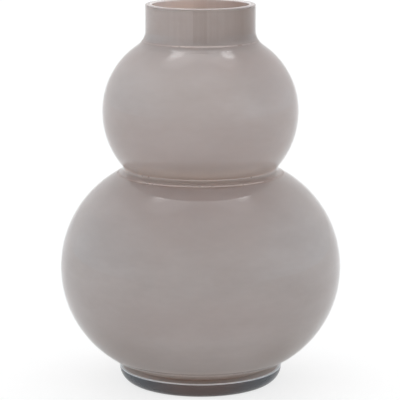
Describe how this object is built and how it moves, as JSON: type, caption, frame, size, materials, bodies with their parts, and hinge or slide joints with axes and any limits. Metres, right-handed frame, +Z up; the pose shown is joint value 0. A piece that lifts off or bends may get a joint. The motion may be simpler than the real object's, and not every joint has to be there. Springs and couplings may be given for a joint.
{
  "type": "double gourd vase",
  "caption": "Blown glass vase with a short open neck, a flattened upper globe, a sharp waist and a wider lower globe on a thick disc foot.",
  "frame": {"origin": "centre of the circle that the foot stands on, at the bottom of the foot", "axes": "+Z up along the vase's axis of turning, towards the mouth; the vase is round, so +X and +Y are any two square directions"},
  "size_m": [0.2072, 0.2072, 0.2808],
  "materials": {
    "milky_glass": "milky translucent taupe glass, smooth",
    "clear_glass": "clear, fire polished",
    "foot_glass": "smoky clear, polished, with a ground ring underneath"
  },
  "bodies": {
    "root": {"milky_glass_lining": "milky_glass", "clear_glass_casing": "clear_glass", "glass_foot": "foot_glass"}
  },
  "joints": []
}
